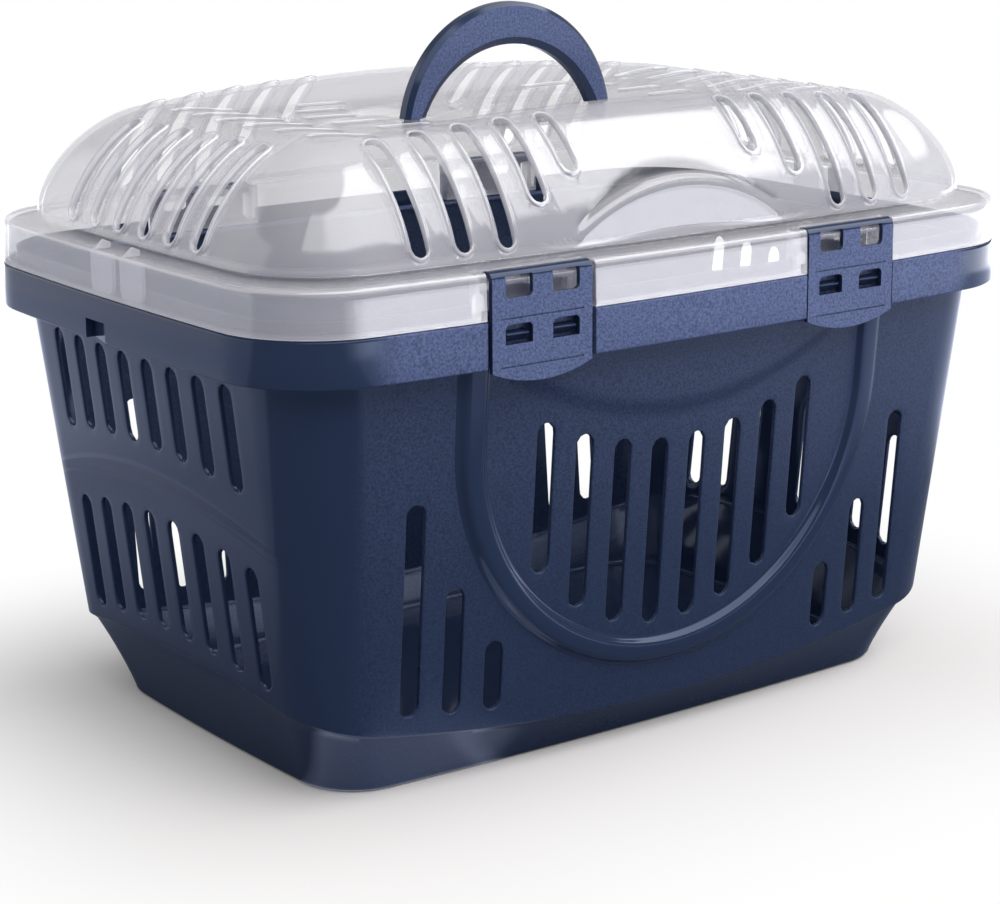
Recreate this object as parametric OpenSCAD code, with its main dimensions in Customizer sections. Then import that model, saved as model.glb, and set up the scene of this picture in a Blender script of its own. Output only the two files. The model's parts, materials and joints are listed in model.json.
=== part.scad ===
// Small-pet carrier: slotted tub, clear domed lid, arched handle and four snap clips.
// Units are millimetres. X runs along the carrier, -Y is the front, Z points up.
// The origin is on the floor under the middle of the tub.

/* [Walls] */
// Thickness of the tub walls
tub_wall = 2.4; // [2.2:0.1:3]
// Thickness of the clear lid
lid_wall = 2; // [1.8:0.1:2.6]

/* [Air slots] */
// Width of the slots in the tub
slot_w = 10.6; // [8:0.2:12]
// Width of the slots in the lid
lid_slot_w = 9.6; // [8:0.2:11]

/* [Mouldings] */
// Width of the raised U-shaped bead on the long walls
bead_w = 15; // [12:0.5:16]
// Height of the raised U-shaped bead
bead_h = 4; // [2:0.5:5]

/* [Clips] */
// Width of each snap clip
clip_w = 59.4; // [56:0.2:60]
// Radius of the clear hinge bar each clip turns on
bar_r = 2.5; // [2.4:0.1:2.6]

/* [Handle] */
// Depth of the handle, front to back
handle_d = 10; // [9:0.5:14]

/* [Hidden] */
$fn = 48;
navy = [0.17, 0.20, 0.30];
clip_blue = [0.27, 0.31, 0.43];
clear = [0.85, 0.86, 0.88, 0.4];

// steps along a long side, round a corner and along an end, each for a quarter of the outline
n_long = 6;
n_corner = 8;
n_end = 5;

// heights
band_bottom = 218.1;
band_top = 241;
lid_bottom = 241.3;
// top of the tub inside the rim edge, low enough for the lid's back skirt to swing over
rest_z = 239.7;
skirt_top = 264.3;
dome_base = 267;
dish_z = 315;

// rim outline: half length, half width, bow of the long side, bow of the end, corner radius
rim_a = 245;
rim_b = 165.4;
rim_r = 55;
band_t = 2.6;

// slots share one pitch all round
pitch = 24.2;

// clip and hinge bar
clip_x = 100;
bar_y = 158.5;
bar_z = 259.4;
clip_t = 2.6;
bore_gap = 0.06;
knuckle_r = bar_r + clip_t;
pocket_w = clip_w + 3.2;

// outline of a bowed rounded rectangle: bowed long sides and ends, corner arcs tangent to both
function arc_points(c, r, a0, a1, n, first) =
    [for (k = [first:n]) let (t = a0 + (a1 - a0) * k / n) c + r * [cos(t), sin(t)]];
function quarter(a, b, sx, sy, r) =
    let (r1 = (a * a + sx * sx) / (2 * sx), r2 = (b * b + sy * sy) / (2 * sy),
         c1 = [0, r1 - b], c2 = [r2 - a, 0], d1 = r1 - r, d2 = r2 - r,
         d = norm(c2 - c1), e = (c2 - c1) / d,
         x = (d * d + d1 * d1 - d2 * d2) / (2 * d), h = sqrt(max(0, d1 * d1 - x * x)),
         qa = c1 + e * x + h * [-e.y, e.x], qb = c1 + e * x - h * [-e.y, e.x],
         q = qa.x < 0 && qa.y < 0 ? qa : qb,
         t1 = atan2(q.y - c1.y, q.x - c1.x), t2 = atan2(q.y - c2.y, q.x - c2.x),
         t3 = t2 < 0 ? t2 : t2 - 360)
    concat(arc_points(c1, r1, -90, t1, n_long, 0),
           arc_points(q, r, t1, t3, n_corner, 1),
           arc_points(c2, r2, t3, -180, n_end, 1));
function outline(a, b, sx, sy, r) =
    let (q = quarter(a, b, sx, sy, r), m = len(q))
    concat(q,
           [for (k = [m - 2:-1:0]) [q[k].x, -q[k].y]],
           [for (k = [1:m - 1]) [-q[k].x, -q[k].y]],
           [for (k = [m - 2:-1:1]) [-q[k].x, q[k].y]]);
function at_z(pts, z) = [for (p = pts) [p.x, p.y, z]];

// rim outline moved inwards by d
function rim(d) = outline(rim_a - d, rim_b - d, 10.4, 5.4, rim_r - d);

// tapered tub wall: outline at the floor and at reference height, moved inwards by d
ref_z = 240;
function wall_low(d) = outline(208.2 - d, 133.3 - d, 8.5, 6.5, 36 - d);
function wall_high(d) = outline(234.5 - d, 152.5 - d, 8.5, 6.5, 43 - d);
function wall_at(z, d) = at_z(let (p = wall_low(d), q = wall_high(d))
    [for (i = [0:len(p) - 1]) p[i] + (q[i] - p[i]) * z / ref_z], z);

// wavy lines round the tub: its height z follows f(x, y), its ends sink in by s(y)
function sink(y) = 2.3 * max(0, 1 - pow(y / 118, 2));
function wavy(f, d, s) =
    let (p = wall_low(d), q = wall_high(d))
    [for (i = [0:len(p) - 1])
        let (z = f(p[i].x, p[i].y), v = p[i] + (q[i] - p[i]) * z / ref_z)
        [v.x - sign(v.x) * s * sink(v.y), v.y, z]];
function ledge_z(x, y) = 31.3 + 0.00045 * x * x - 0.00059 * y * y;
function step_z(y, top, k) = top - k * pow(min(abs(y), 118), 2);

// solid through a stack of outlines with equal point counts
module loft(rings) {
    n = len(rings[0]);
    k = len(rings);
    polyhedron(
        points = [for (r = rings) each r],
        faces = concat(
            [[for (i = [n - 1:-1:0]) i]],
            [for (j = [0:k - 2]) for (i = [0:n - 1]) let (a = j * n + i, b = j * n + (i + 1) % n)
                each [[a, b, b + n], [a, b + n, a + n]]],
            [[for (i = [0:n - 1]) (k - 1) * n + i]]),
        convexity = 8);
}

// the tub's skin: out and up over the plinth, wall and rim band, then down inside
module tub_shell() {
    w = tub_wall;
    low = function(x, y) step_z(y, 141.5, 0.0013);
    high = function(x, y) step_z(y, 150, 0.0015);
    loft([
        at_z(outline(188, 114, 5.6, 3.6, 30), 0),
        at_z(outline(190.8, 116.9, 5.6, 3.6, 32.5), 0.9),
        at_z(outline(192.8, 119, 5.6, 3.6, 34), 3.6),
        wavy(function(x, y) ledge_z(x, y) + 0.3, 3.4, 1),
        wavy(function(x, y) ledge_z(x, y), 1.1, 1),
        wavy(function(x, y) ledge_z(x, y) + 1.6, 0, 1),
        wavy(low, 0, 1),
        wavy(high, 0, 0),
        wall_at(band_top - w, 0),
        at_z(rim(band_t), band_top - w),
        at_z(rim(band_t), band_bottom),
        at_z(rim(0), band_bottom),
        at_z(rim(0), band_top - 0.8),
        at_z(rim(0.6), band_top - 0.2),
        at_z(rim(5.5), rest_z),
        wall_at(rest_z, w),
        wavy(high, w, 0),
        wavy(low, w, 1),
        wavy(function(x, y) ledge_z(x, y) + 1.6, w, 1),
        wavy(function(x, y) ledge_z(x, y) - 1.2, w + 3.4, 1),
        at_z(outline(189.5, 115.6, 5.6, 3.6, 31), 4.6),
        at_z(outline(186.5, 112.6, 5.6, 3.6, 28), 3)]);
}

// upright slot with round ends through everything along Y
module y_slot(x, z0, z1, w, y0, y1) {
    translate([x, y1, 0]) rotate([90, 0, 0]) linear_extrude(y1 - y0) {
        translate([-w / 2, z0 + w / 2]) square([w, z1 - z0 - w]);
        translate([0, z0 + w / 2]) circle(r = w / 2, $fn = 20);
        translate([0, z1 - w / 2]) circle(r = w / 2, $fn = 20);
    }
}

// air slots of the tub: eight inside the U bead, three outside it each side, two rows of eight on the ends
module tub_slots() {
    for (s = [-1, 1]) {
        for (k = [0:3]) {
            x = (k + 0.5) * pitch;
            top = 163.8 + 0.00265 * x * x;
            bottom = 178 - sqrt(114.4 * 114.4 - x * x * 1.08);
            y_slot(s * x, bottom, top, slot_w, -200, 200);
        }
        for (k = [0:2]) {
            x = (k + 4.5) * pitch + 1.2;
            top = [73.8, 106, 152.4][k];
            y_slot(s * x, ledge_z(x, 133) + 10.5, top, slot_w, -200, 200);
        }
    }
    for (s = [-1, 1]) for (k = [0:3]) {
        y = s * (k + 0.5) * pitch;
        rotate([0, 0, 90]) {
            y_slot(y, 164 - 0.00095 * y * y, 211, slot_w, -260, 260);
            y_slot(y, 61.8 - 0.00095 * y * y, 126.2 - 0.00107 * y * y, slot_w, -260, 260);
        }
    }
}

// raised U on a long wall: half ring below, two straight arms above, all on the wall's slope
bead_r = 129;
module bead_profile() {
    w = bead_w / 2;
    polygon([[-w, -1.2], [-w, 0.2], [-w + 2, bead_h - 1.2], [-w + 5, bead_h],
             [w - 5, bead_h], [w - 2, bead_h - 1.2], [w, 0.2], [w, -1.2]]);
}
module bead() {
    translate([0, -144.7, 178]) rotate([93.4, 0, 0]) {
        rotate([0, 0, 180]) rotate_extrude(angle = 180, $fn = 96)
            translate([bead_r, 0]) bead_profile();
        for (s = [-1, 1]) translate([s * bead_r, 46, 0]) rotate([90, 0, 0])
            linear_extrude(46.1) bead_profile();
    }
}

// soft curved step under the rim between the arms of the U
module brow() {
    intersection() {
        loft([wall_at(150, -1.8), wall_at(222, -1.8)]);
        translate([0, -146.2, 364]) rotate([90, 0, 0]) cylinder(h = 5, r1 = 196, r2 = 152, $fn = 160);
        translate([-122, -170, 160]) cube([244, 26, 60]);
    }
}

// recess in the rim band behind a clip
module clip_pocket_cut() {
    translate([-pocket_w / 2, -180, band_bottom - 1]) cube([pocket_w, 22, 30]);
}

// window positions across a clip
win_x = [-14, 14];
win_w = 16;

// plate behind a clip with the two teeth its lower windows snap over
module clip_catch() {
    h = rest_z - band_bottom;
    cheek_x = (pocket_w + band_t) / 2;
    translate([-pocket_w / 2 - band_t, -158, band_bottom]) cube([pocket_w + 2 * band_t, band_t, h]);
    for (s = [-1, 1]) translate([s * cheek_x - band_t / 2, -163.2, band_bottom]) cube([band_t, 12, h]);
    for (x = win_x) translate([x - win_w / 2 + 1.2, 0, 0]) rotate([90, 0, 90])
        linear_extrude(win_w - 2.4)
            polygon([[-156, 228], [-156, 235.4], [-162.4, 234.2], [-162.8, 233.4], [-158, 229.6]]);
}

module tub() {
    color(navy) {
        difference() {
            union() {
                difference() {
                    tub_shell();
                    tub_slots();
                    for (m = [0, 1], s = [-1, 1]) mirror([0, m, 0])
                        translate([s * clip_x, 0, 0]) clip_pocket_cut();
                }
                for (m = [0, 1]) mirror([0, m, 0]) {
                    bead();
                    brow();
                    for (s = [-1, 1]) translate([s * clip_x, 0, 0]) clip_catch();
                }
            }
            // small notch in each end of the band, its floor ramps out towards the front
            for (m = [0, 180]) rotate([0, 0, m]) translate([0, 0, band_bottom - 1]) linear_extrude(10)
                polygon([[-247, 22], [-240, 22], [-244.7, 2], [-247, 2]]);
        }
    }
}

// dome: quarter super-ellipse from the base outline up to the crest
dome_a = 230;
dome_b = 147.5;
dome_in_x = 51;
dome_in_y = 50;
dome_in_pow = 1.26;
dome_up_pow = 1.37;
dome_r = [52, 9];
n_dome = 9;
function smooth(t) = let (u = min(1, max(0, t))) u * u * (3 - 2 * u);
// the top: a low crest along the front and the back with a trough between, and an oval well for the fingers
dish_a = 84;
dish_b = 50;
function crest_z(x) = 330 - 0.0003 * x * x;
function top_outline(d) = outline(dome_a - d - dome_in_x, dome_b - d - dome_in_y, 4, 3, dome_r[1] - d);
function floor_z(x, y) =
    317.4 + 0.00008 * x * x - (2.4 + 0.00008 * x * x) * smooth((1.06 - norm([x / dish_a, y / dish_b])) / 0.2);
function dome_ring(t, d) =
    let (u = 1 - pow(cos(90 * t), dome_in_pow), v = pow(sin(90 * t), dome_up_pow),
         p = outline(dome_a - d - dome_in_x * u, dome_b - d - dome_in_y * u, 8 - 4 * t, 5 - 2 * t,
                     dome_r[0] - d + (dome_r[1] - dome_r[0]) * t),
         q = top_outline(0))
    [for (i = [0:len(p) - 1])
        [p[i].x, p[i].y, dome_base - d + (crest_z(q[i].x) - dome_base) * v]];
// rings from the crest down into the trough: k is 1 on the crest
function trough_ring(k, d) =
    [for (q = top_outline(d))
        let (x = q.x * k, y = q.y * k, h = smooth((1 - k) / 0.28))
        [x, y, crest_z(x) + (floor_z(x, y) - crest_z(x)) * h - d]];
// oval rings round the finger well: k is 1 on its edge
function well_ring(k, d) =
    [for (q = top_outline(d))
        let (e = [q.x / dish_a, q.y / dish_b], v = [q.x, q.y] / norm(e) * k)
        [v.x, v.y, floor_z(v.x, v.y) - d]];

// lid filled solid, moved inwards by d; the inner one runs on below the rim
module lid_solid(d) {
    loft(concat(
        [at_z(rim(0.3 + d), lid_bottom - d), at_z(rim(0.9 + d), skirt_top - 2.4 - d),
         at_z(rim(1.7 + d), skirt_top - 0.6 - d), at_z(rim(3.6 + d), skirt_top - d),
         at_z(outline(dome_a + 1.6 - d, dome_b + 1.6 - d, 8, 5, 53 - d), dome_base - 1.2 - d)],
        [for (k = [0:n_dome]) dome_ring(k / n_dome, d)],
        [for (k = [0.95, 0.9, 0.84, 0.78, 0.72]) trough_ring(k, d)],
        [for (k = [1.06, 1, 0.93, 0.86, 0.45, 0.1]) well_ring(k, d)]));
}

// arched panel on the front of the dome: upright face, rounded edge and a sloping crescent shelf
arch_r = 109;
arch_z = 186.5;
module lid_panel(d) {
    intersection() {
        translate([0, 0, arch_z]) rotate([90, 0, 0]) rotate_extrude($fn = 160)
            polygon([[0, 120], [arch_r + 12.5 - d, 120], [arch_r + 2.5 - d, 141.5 - d],
                     [arch_r + 1.6 - d, 144.2 - d], [arch_r - 0.4 - d, 146.2 - d],
                     [arch_r - 3 - d, 147 - d], [0, 147 - d]]);
        translate([-90, -160, dome_base - 2 - d]) cube([180, 60, 60]);
    }
}

// raised edge round the slots: the dome's skin one step out, cut to each slot's own shape
module collars() {
    w = lid_slot_w + 4;
    intersection() {
        loft([for (k = [0:n_dome + 1]) k > n_dome ? trough_ring(0.9, -1.1) : dome_ring(k / n_dome, -1.1)]);
        union() {
            for (m = [0, 1], s = [-1, 1], k = [0:4]) mirror([0, m, 0])
                shoulder_slot(s * (58.4 + k * lid_pitch), slot_low[k] - 2, 2 - 104.8 + k * 0.9, w);
            for (m = [0, 1], s = [-1, 1], k = [0:2]) mirror([m, 0, 0])
                end_slot(s * (k + 0.5) * 25, 269.6, -186, w);
        }
    }
}

// slot over the front shoulder: from height z0 on the wall to depth y1 on the top
module shoulder_slot(x, z0, y1, w) {
    translate([x, 0, z0 + w / 2]) {
        translate([-w / 2, -200, 0]) cube([w, 200 + y1 - w / 2, 90]);
        translate([0, -120, 0]) rotate([90, 0, 0]) cylinder(h = 80, r = w / 2, $fn = 20);
    }
    translate([x, y1 - w / 2, 300]) cylinder(h = 60, r = w / 2, $fn = 20);
}

// the same over the left shoulder
module end_slot(y, z0, x1, w) {
    translate([0, y, z0 + w / 2]) {
        translate([-260, -w / 2, 0]) cube([260 + x1 - w / 2, w, 90]);
        translate([-200, 0, 0]) rotate([0, -90, 0]) cylinder(h = 60, r = w / 2, $fn = 20);
    }
    translate([x1 - w / 2, y, 290]) cylinder(h = 60, r = w / 2, $fn = 20);
}

// slot in the flat top
module top_slot(x0, x1, y, w) {
    for (x = [x0 + w / 2, x1 - w / 2]) translate([x, y, 290]) cylinder(h = 60, r = w / 2, $fn = 20);
    translate([x0 + w / 2, y - w / 2, 290]) cube([x1 - x0 - w, w, 60]);
}

lid_pitch = 24.3;
slot_low = [301.4, 289.6, 271.2, 271.4, 271.4];
deck_pitch = 26.2;
module lid_slots() {
    w = lid_slot_w;
    for (m = [0, 1], s = [-1, 1], k = [0:4]) mirror([0, m, 0])
        shoulder_slot(s * (58.4 + k * lid_pitch), slot_low[k], -104.8 + k * 0.9, w);
    for (m = [0, 1], s = [-1, 1], k = [0:2]) mirror([m, 0, 0])
        end_slot(s * (k + 0.5) * 25, 271.6, -188, w);
    for (m = [0, 1], s = [-1, 1], k = [0:2]) mirror([m, 0, 0]) {
        top_slot(-172 + 2 * k, -132 + k * k, s * (k + 0.5) * deck_pitch, w - 1);
        top_slot([-119, -109, -92][k], [-88, -78, -60][k], s * (k + 0.5) * deck_pitch, w - 1);
    }
}

// opening in the skirt for a clip, its recessed back wall and the hinge bar
module lid_pocket_cut() {
    translate([-pocket_w / 2, -180, lid_bottom - 1]) cube([pocket_w, 28, 40]);
}
module lid_pocket() {
    w = lid_wall;
    top = 268;
    translate([-pocket_w / 2 - w, -152.4, lid_bottom]) cube([pocket_w + 2 * w, w, top - lid_bottom - 0.5]);
    for (s = [-1, 1]) translate([s * (pocket_w + w) / 2 - w / 2, -163, lid_bottom])
        cube([w, 12, 22.4]);
    translate([-pocket_w / 2 - 0.5, -bar_y, bar_z]) rotate([0, 90, 0])
        cylinder(h = pocket_w + 1, r = bar_r, $fn = 32);
}

// two flat tongues inside each end of the skirt, each with a small fin over the ledge
module end_tongues() {
    for (y = [-21.5, 8.5]) {
        translate([-242.2, y - 11.2, lid_bottom]) cube([2.4, 22.4, 21.6]);
        translate([-238, y + 6, dome_base - 3]) rotate([90, 0, 0]) linear_extrude(2)
            polygon([[-5, 0], [9, 0], [9, 4.5], [3, 5.5]]);
    }
}

module lid() {
    color(clear) {
        difference() {
            union() {
                lid_solid(0);
                for (m = [0, 1]) mirror([0, m, 0]) lid_panel(0);
                collars();
            }
            lid_solid(lid_wall);
            for (m = [0, 1]) mirror([0, m, 0]) lid_panel(lid_wall);
            translate([-300, -200, lid_bottom - 30]) cube([600, 400, 30]);
            lid_slots();
            for (m = [0, 1], s = [-1, 1]) mirror([0, m, 0])
                translate([s * clip_x, 0, 0]) lid_pocket_cut();
            for (s = [-1, 1]) translate([s * leg_x, 0, 300])
                cube([leg_w + 0.4, leg_d + 0.4, 40], center = true);
        }
        for (m = [0, 1], s = [-1, 1]) mirror([0, m, 0])
            translate([s * clip_x, 0, 0]) lid_pocket();
        for (m = [0, 180]) rotate([0, 0, m]) end_tongues();
    }
}

// handle: crescent between two circles with bevelled faces, on two barbed legs
handle_r = 68.8;
handle_z = 303.6;
grip_r = 60;
grip_z = 290.1;
leg_x = 61.5;
leg_w = 5;
leg_d = 8;
bevel = 2.4;
grip_bevel = 3.8;
// lowest point of the barbs, their catching edge and how far they stand out
barb_low = dish_z - 8.5;
barb_top = dish_z - lid_wall - 0.1;
barb = 1.2;
module handle() {
    h = handle_d / 2;
    w = leg_w / 2;
    color(clip_blue) {
        difference() {
            translate([0, 0, handle_z]) rotate([90, 0, 0]) rotate_extrude($fn = 128)
                polygon([[0, -h], [handle_r - bevel, -h], [handle_r, -h + bevel], [handle_r, h - bevel],
                         [handle_r - bevel, h], [0, h]]);
            translate([0, 0, grip_z]) rotate([90, 0, 0]) rotate_extrude($fn = 128)
                polygon([[0, -h - 1], [grip_r + grip_bevel, -h - 1], [grip_r + grip_bevel, -h],
                         [grip_r, -h + bevel], [grip_r, h - bevel], [grip_r + grip_bevel, h],
                         [grip_r + grip_bevel, h + 1], [0, h + 1]]);
            translate([-100, -20, 200]) cube([200, 40, dish_z - 200]);
        }
        for (s = [-1, 1]) translate([s * leg_x, 0, 0]) {
            translate([-leg_w / 2, -leg_d / 2, dish_z - 7]) cube([leg_w, leg_d, 9]);
            rotate([90, 0, 0]) translate([0, 0, -leg_d / 2]) linear_extrude(leg_d)
                polygon([[-w, barb_low], [w, barb_low], [w + barb, barb_top - 1.7], [w + barb, barb_top],
                         [-w - barb, barb_top], [-w - barb, barb_top - 1.7]]);
        }
    }
}

// snap clip: rolled top that turns on the bar, flat plate with two pairs of windows, round lower lip
clip_low = 216;
lip_low = 210;
clip_top = bar_z + knuckle_r;
corner_r = 3.6;
module clip_face() {
    w = clip_w / 2;
    intersection() {
        translate([-w, lip_low]) square([clip_w, clip_top - lip_low]);
        union() {
            translate([-w, clip_low + 2]) square([clip_w, clip_top - corner_r - clip_low - 2]);
            translate([corner_r - w, clip_top - corner_r]) square([clip_w - 2 * corner_r, corner_r]);
            for (s = [-1, 1]) translate([s * (w - corner_r), clip_top - corner_r])
                circle(r = corner_r, $fn = 32);
            translate([0, lip_low + 76]) circle(r = 76, $fn = 96);
        }
    }
}
// window whose corners are rounded at one end: at the bottom when z1 is below z0
module clip_window(x, z0, z1) {
    r = 2.6;
    u = sign(z1 - z0);
    translate([x, 0, 0]) rotate([90, 0, 0]) linear_extrude(40, center = true) {
        translate([-win_w / 2, min(z0, z1 - u * r)]) square([win_w, abs(z1 - z0) - r]);
        translate([r - win_w / 2, min(z0, z1)]) square([win_w - 2 * r, abs(z1 - z0)]);
        for (s = [-1, 1]) translate([s * (win_w / 2 - r), z1 - u * r]) circle(r = r, $fn = 32);
    }
}
module clip() {
    y0 = -bar_y - knuckle_r;
    w = clip_w / 2;
    color(clip_blue) {
        difference() {
            intersection() {
                union() {
                    translate([-w, y0, lip_low]) cube([clip_w, clip_t, bar_z - lip_low]);
                    translate([-w, -bar_y, bar_z]) rotate([0, 90, 0])
                        cylinder(h = clip_w, r = knuckle_r, $fn = 48);
                }
                rotate([90, 0, 0]) linear_extrude(200) clip_face();
            }
            // bore for the bar, left open below so the clip snaps on
            translate([-w - 1, -bar_y, bar_z]) rotate([0, 90, 0])
                cylinder(h = clip_w + 2, r = bar_r + bore_gap, $fn = 48);
            translate([-w - 1, y0 + clip_t, bar_z - 10]) cube([clip_w + 2, 20, 9.2]);
            for (x = win_x) translate([0, -160, 0]) {
                clip_window(x, 262, 251.3);
                clip_window(x, 229.1, 238.7);
            }
            for (z = [241.7, 218.4]) translate([-24.6, y0 - 1, z - 0.35]) cube([49.2, 1.6, 0.7]);
        }
    }
}

module front_clip_left() { translate([-clip_x, 0, 0]) clip(); }
module front_clip_right() { translate([clip_x, 0, 0]) clip(); }
module rear_clip_left() { mirror([0, 1, 0]) translate([-clip_x, 0, 0]) clip(); }
module rear_clip_right() { mirror([0, 1, 0]) translate([clip_x, 0, 0]) clip(); }

tub();
lid();
handle();
front_clip_left();
front_clip_right();
rear_clip_left();
rear_clip_right();
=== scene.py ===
# %% [markdown]
# # A small-pet carrier: slotted navy tub, clear domed lid, arched handle, four snap clips
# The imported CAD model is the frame. Its big mouldings are rebuilt here as dense, softly rounded shells, because
# the look of a glossy or clear moulding lives in its small radii: slot rims, ledges, beads and creases.
# The handle and the clips keep their CAD form and only get rounded edges.

# %% Load the frame
import json
import math
import bpy
import bmesh
import numpy as np
from mathutils import Matrix, Vector

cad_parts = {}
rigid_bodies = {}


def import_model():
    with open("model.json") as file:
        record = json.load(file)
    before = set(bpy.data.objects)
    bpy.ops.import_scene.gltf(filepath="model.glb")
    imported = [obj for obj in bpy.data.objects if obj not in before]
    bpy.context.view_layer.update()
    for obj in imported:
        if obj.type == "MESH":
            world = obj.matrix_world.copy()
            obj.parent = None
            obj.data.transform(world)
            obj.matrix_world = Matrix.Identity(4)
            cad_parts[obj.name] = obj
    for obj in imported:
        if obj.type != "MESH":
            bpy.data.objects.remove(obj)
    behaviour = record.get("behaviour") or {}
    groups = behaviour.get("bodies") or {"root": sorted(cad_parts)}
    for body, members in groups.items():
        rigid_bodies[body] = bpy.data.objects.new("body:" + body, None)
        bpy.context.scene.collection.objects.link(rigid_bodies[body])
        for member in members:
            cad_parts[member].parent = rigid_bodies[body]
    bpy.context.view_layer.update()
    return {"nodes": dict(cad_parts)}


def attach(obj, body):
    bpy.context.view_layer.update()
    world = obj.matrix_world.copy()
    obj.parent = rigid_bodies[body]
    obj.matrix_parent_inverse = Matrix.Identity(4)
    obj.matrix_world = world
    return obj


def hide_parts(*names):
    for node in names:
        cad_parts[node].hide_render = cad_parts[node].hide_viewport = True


for leftover in list(bpy.data.objects):
    bpy.data.objects.remove(leftover)
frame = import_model()
MM = 0.001

# %% [markdown]
# ## One outline for everything
# Each level of the carrier is the same kind of line: a rounded rectangle whose four sides bow outwards a little.
# It is made of circle arcs that meet in tangents. The place along it is `u`, in about a millimetre of length:
# 0 to 170 is half a long side, 170 to 240 a corner, 240 to 350 half an end, and so on round the four quarters.
# On the sides `u` follows the real x or y, so that upright slots get upright columns of faces.

# %% The outline
QUARTER, SIDE_END, CORNER_END = 350.0, 170, 240
TRUE_X, TRUE_Y, END_STEP = 164.6, 92.7, 0.9  # up to here u follows x, and y in steps of 0.9


def outline(u, a, b, sx, sy, r):
    """x, y of the bowed rounded rectangle at u. A side of half length a and sag s has radius (a^2 + s^2) / 2s;
    the corner's centre is where the circles of the two sides, made smaller by r, cross."""
    r1, r2 = (a * a + sx * sx) / (2 * sx), (b * b + sy * sy) / (2 * sy)
    y1, x2, d1, d2 = r1 - b, r2 - a, r1 - r, r2 - r
    d = np.hypot(x2, y1)
    ex, ey = x2 / d, -y1 / d
    m = (d * d + d1 * d1 - d2 * d2) / (2 * d)
    h = np.sqrt(np.maximum(d1 * d1 - m * m, 0))
    qx, qy = ex * m + ey * h, y1 + ey * m - ex * h
    t1, t2 = np.arctan2(qy - y1, qx), np.arctan2(qy, qx - x2)
    xe, ye = -r1 * np.cos(t1), -r2 * np.sin(t2)
    w = np.mod(u, 4 * QUARTER)
    turn = np.floor(w / QUARTER)
    w = w - turn * QUARTER
    w = np.where(turn % 2 == 1, QUARTER - w, w)
    past = (w - TRUE_X) * (xe - TRUE_X) / (SIDE_END - TRUE_X)
    xl = np.where(xe > TRUE_X + 0.6, np.where(w < TRUE_X, w, TRUE_X + past), w * xe / SIDE_END)
    s = QUARTER - w
    sl = np.minimum(TRUE_Y, ye - 1) / END_STEP
    yl = END_STEP * np.minimum(s, sl) + np.maximum(s - sl, 0) * (ye - END_STEP * sl) / (QUARTER - CORNER_END - sl)
    t = t1 + (t2 - t1) * (w - SIDE_END) / (CORNER_END - SIDE_END)
    on_side, on_corner = w <= SIDE_END, w < CORNER_END
    x = np.where(on_side, -xl, np.where(on_corner, qx + r * np.cos(t), x2 - np.sqrt(r2 * r2 - np.minimum(yl, r2) ** 2)))
    y = np.where(on_side, y1 - np.sqrt(r1 * r1 - xl * xl), np.where(on_corner, qy + r * np.sin(t), -yl))
    return np.where(turn >= 2, -x, x), np.where((turn == 1) | (turn == 2), -y, y)


def smooth(t):
    """3t^2 - 2t^3 between 0 and 1"""
    t = np.clip(t, 0, 1)
    return t * t * (3 - 2 * t)


def columns(side, corner, end, marks=()):
    """Places round the outline: so many steps on each half side, corner and half end, and a close pair at each mark"""
    stops = (0, SIDE_END, CORNER_END, QUARTER)
    q = np.concatenate([np.linspace(a, b, n + 1)[:-1] for a, b, n in zip(stops, stops[1:], (side, corner, end))])
    for m in marks:
        q = q[np.abs(q - m) > 0.7]
        q = np.append(q, [m - 0.12, m + 0.12])
    q = np.sort(q)
    back = (QUARTER - np.append(q, QUARTER))[::-1]
    half = np.concatenate([q, QUARTER + back[:-1]])
    return np.concatenate([half, half + 2 * QUARTER])


# %% [markdown]
# ## A shell with slots
# A moulded shell is two sheets, outside and inside, over the same grid of places (u, v). Every slot is given by its
# distance field. Where a line of the grid crosses a slot's edge, the nearer point slides along the sheet onto the edge;
# the faces inside drop out, and a narrow strip of faces turns the edge over, as the mould's own small radius does.

# %% Mesh helpers
def make_mesh(name, verts, quads, tris=None, grain=None):
    """Mesh object from whole arrays, in metres, smooth with creases above 40 degrees"""
    tris = np.zeros((0, 3), int) if tris is None else tris
    loops = np.concatenate([quads.reshape(-1), tris.reshape(-1)]).astype(np.int32)
    counts = np.concatenate([np.full(len(quads), 4), np.full(len(tris), 3)])
    used, loops = np.unique(loops, return_inverse=True)
    mesh = bpy.data.meshes.new(name)
    mesh.vertices.add(len(used))
    mesh.vertices.foreach_set("co", (verts[used] * MM).astype(np.float32).reshape(-1))
    mesh.loops.add(len(loops))
    mesh.loops.foreach_set("vertex_index", loops.reshape(-1).astype(np.int32))
    mesh.polygons.add(len(counts))
    mesh.polygons.foreach_set("loop_start", np.concatenate([[0], np.cumsum(counts)[:-1]]).astype(np.int32))
    if grain is not None:
        layer = mesh.attributes.new("grain", "FLOAT", "POINT")
        layer.data.foreach_set("value", grain[used].astype(np.float32))
    mesh.update(calc_edges=True)
    mesh.validate()
    mesh.polygons.foreach_set("use_smooth", np.ones(len(mesh.polygons), bool))
    mesh.set_sharp_from_angle(angle=math.radians(40))
    obj = bpy.data.objects.new(name, mesh)
    bpy.context.scene.collection.objects.link(obj)
    print(name, len(mesh.vertices), "points", int((counts - 2).sum()), "triangles")
    return obj


def grid_quads(rows, cols, start=0, wrap=True):
    """Faces of a grid of rows by cols points, closed round the columns"""
    j, i = np.meshgrid(np.arange(rows - 1), np.arange(cols if wrap else cols - 1), indexing="ij")
    k = (i + 1) % cols
    return start + np.stack([j * cols + i, j * cols + k, (j + 1) * cols + k, (j + 1) * cols + i], -1).reshape(-1, 4)


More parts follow.
